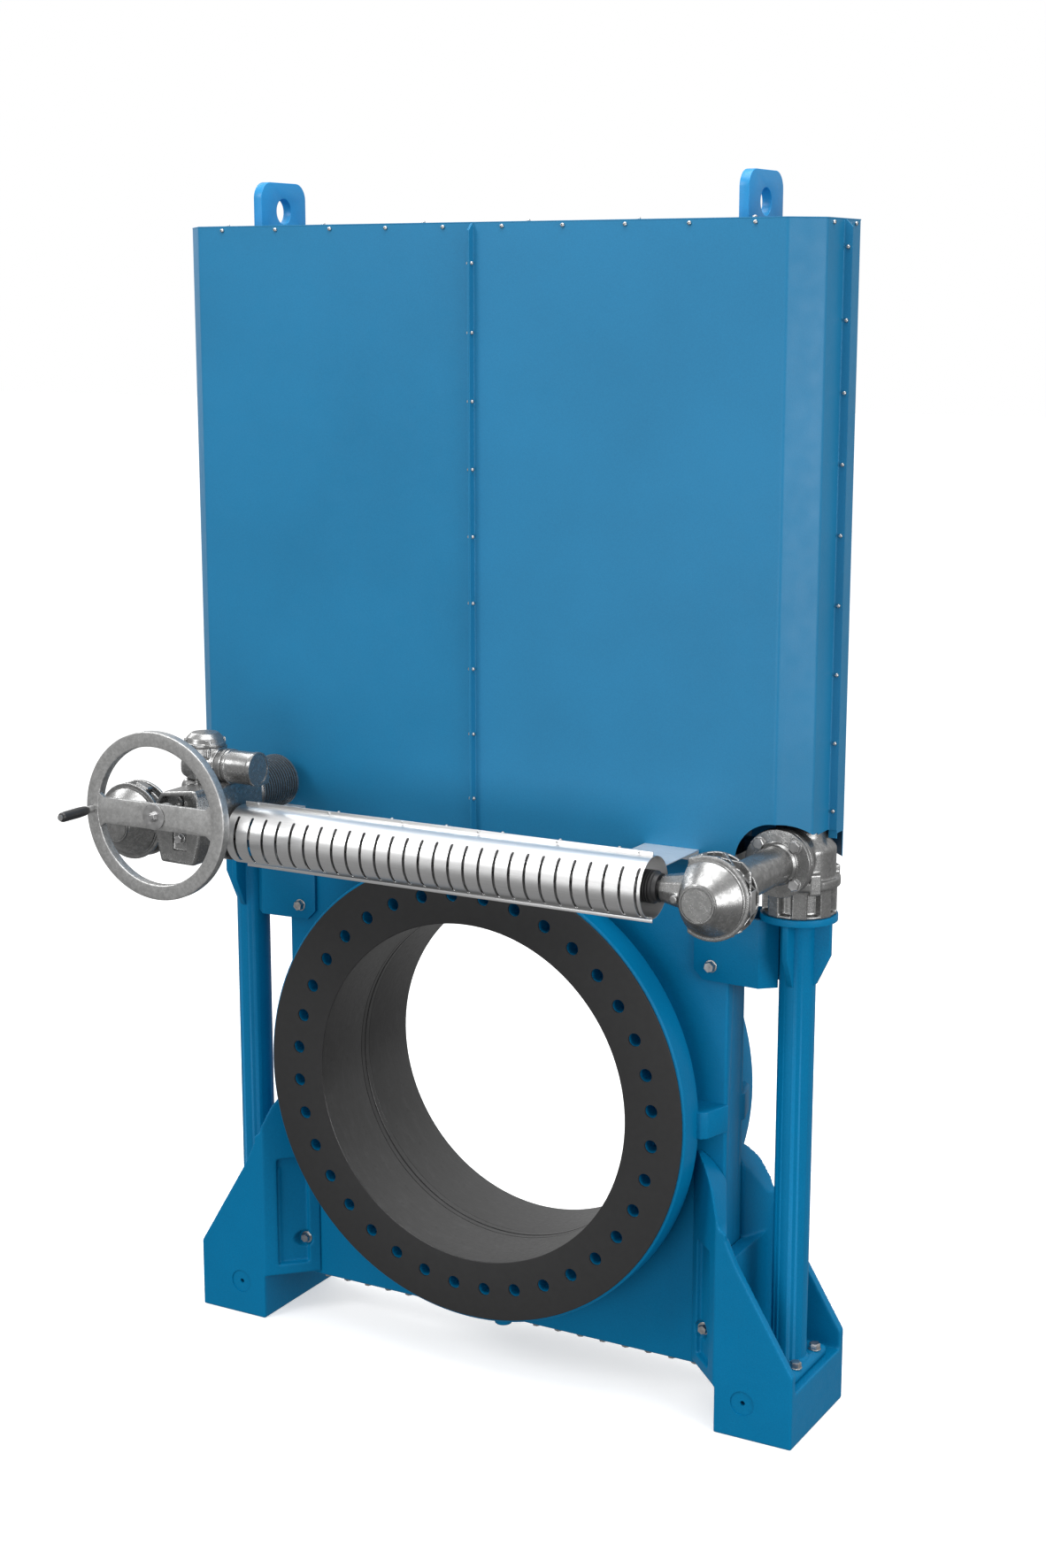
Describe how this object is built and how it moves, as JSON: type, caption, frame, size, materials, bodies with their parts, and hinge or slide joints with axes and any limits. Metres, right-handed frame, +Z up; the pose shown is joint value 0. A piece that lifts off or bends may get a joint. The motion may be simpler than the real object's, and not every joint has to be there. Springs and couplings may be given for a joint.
{
  "type": "knife gate valve",
  "caption": "Large flanged knife gate valve: rising gate in a sheet housing, screw columns, bevel gearboxes joined by a guarded shaft, and a geared actuator with a handwheel.",
  "frame": {"origin": "on the floor under the middle of the valve's overall box", "axes": "+Z up, +Y from the handwheel side to the rear along the pipe, +X along the cross shaft away from the handwheel"},
  "size_m": [2.186, 1.269, 3.686],
  "materials": {
    "blue_casting": "satin paint on a slightly rough casting",
    "blue_sheet": "smooth satin paint on sheet steel",
    "grey_casting": "bare grey casting, mottled and satin",
    "stainless": "bright brushed stainless steel",
    "steel": "machined steel",
    "bronze": "machined bronze",
    "rubber": "matte dark rubber",
    "black_plastic": "moulded, satin"
  },
  "bodies": {
    "frame": {"actuator_bracket": "stainless", "actuator_controls": "grey_casting", "actuator_housing": "grey_casting", "body_half_front": "blue_casting", "body_half_rear": "blue_casting", "bracket_plate_front_left": "blue_casting", "bracket_plate_front_right": "blue_casting", "bracket_plate_rear_left": "blue_casting", "bracket_plate_rear_right": "blue_casting", "column_gearbox_left": "grey_casting", "column_gearbox_right": "grey_casting", "column_left": "blue_casting", "column_right": "blue_casting", "controls_cap": "grey_casting", "corner_cover_left": "grey_casting", "corner_cover_right": "grey_casting", "corner_gearbox_left": "grey_casting", "corner_gearbox_right": "grey_casting", "foot_left": "blue_casting", "foot_right": "blue_casting", "gate_packing": "rubber", "guard_bracket": "stainless", "housing_top": "blue_sheet", "lifting_beam": "blue_sheet", "motor_housing": "grey_casting", "output_tube_left": "grey_casting", "output_tube_right": "grey_casting", "packing_gland": "steel", "panel_front_left": "blue_sheet", "panel_front_right": "blue_sheet", "panel_rear_left": "blue_sheet", "panel_rear_right": "blue_sheet", "shaft_guard_front": "stainless", "shaft_guard_rear": "stainless", "sleeve_front": "rubber", "sleeve_lip_front": "rubber", "sleeve_lip_rear": "rubber", "sleeve_rear": "rubber", "terminal_cover": "grey_casting", "yoke_base_left": "steel", "yoke_base_right": "steel", "yoke_post_front_left": "steel", "yoke_post_front_right": "steel", "yoke_post_rear_left": "steel", "yoke_post_rear_right": "steel"},
    "gate_assembly": {"gate": "stainless", "crosshead": "steel", "stem_left": "steel", "stem_right": "steel"},
    "stem_nut_left": {"stem_nut_left": "bronze"},
    "stem_nut_right": {"stem_nut_right": "bronze"},
    "bevel_shaft_left": {"bevel_shaft_left": "steel"},
    "bevel_shaft_right": {"bevel_shaft_right": "steel"},
    "cross_shaft": {"cross_shaft": "steel", "shaft_coupling": "rubber"},
    "handwheel": {"handwheel": "grey_casting", "hub_nut": "steel", "handle_pin": "steel", "worm_shaft": "steel"},
    "handle_grip": {"handle_grip": "black_plastic"}
  },
  "joints": [
    {"name": "gate_travel", "type": "slide", "parent": "frame", "child": "gate_assembly", "axis": [0, 0, 1], "range_m": [-1.225, 0], "deforming": ["sleeve_lip_front", "sleeve_lip_rear"]},
    {"name": "stem_nut_right_turn", "type": "hinge", "parent": "frame", "child": "stem_nut_right", "pos_m": [0.975, 0.3825, 1.7], "axis": [0, 0, 1], "range_deg": [-1, 44101]},
    {"name": "stem_nut_left_turn", "type": "hinge", "parent": "frame", "child": "stem_nut_left", "pos_m": [-0.975, 0.3825, 1.7], "axis": [0, 0, 1], "range_deg": [-44101, 1]},
    {"name": "bevel_shaft_right_turn", "type": "hinge", "parent": "frame", "child": "bevel_shaft_right", "pos_m": [0.975, 0, 1.768], "axis": [0, 1, 0], "range_deg": [-88201, 1]},
    {"name": "bevel_shaft_left_turn", "type": "hinge", "parent": "frame", "child": "bevel_shaft_left", "pos_m": [-0.975, 0, 1.768], "axis": [0, 1, 0], "range_deg": [-1, 88201]},
    {"name": "cross_shaft_turn", "type": "hinge", "parent": "frame", "child": "cross_shaft", "pos_m": [0, -0.1975, 1.768], "axis": [1, 0, 0], "range_deg": [-88201, 1]},
    {"name": "handwheel_turn", "type": "hinge", "parent": "frame", "child": "handwheel", "pos_m": [-0.69, -0.4, 1.859], "axis": [0, 1, 0], "range_deg": [-1, 1146601]},
    {"name": "grip_spin", "type": "hinge", "parent": "handwheel", "child": "handle_grip", "pos_m": [-0.918, -0.57, 1.859], "axis": [0, 1, 0], "continuous": true}
  ],
  "couplings": [
    {"joint": "stem_nut_right_turn", "follows": "gate_travel", "rad_per_m": -628.32},
    {"joint": "stem_nut_left_turn", "follows": "gate_travel", "rad_per_m": 628.32},
    {"joint": "bevel_shaft_right_turn", "follows": "gate_travel", "rad_per_m": 1256.6},
    {"joint": "bevel_shaft_left_turn", "follows": "gate_travel", "rad_per_m": -1256.6},
    {"joint": "cross_shaft_turn", "follows": "gate_travel", "rad_per_m": 1256.6},
    {"joint": "handwheel_turn", "follows": "gate_travel", "rad_per_m": -16336}
  ]
}
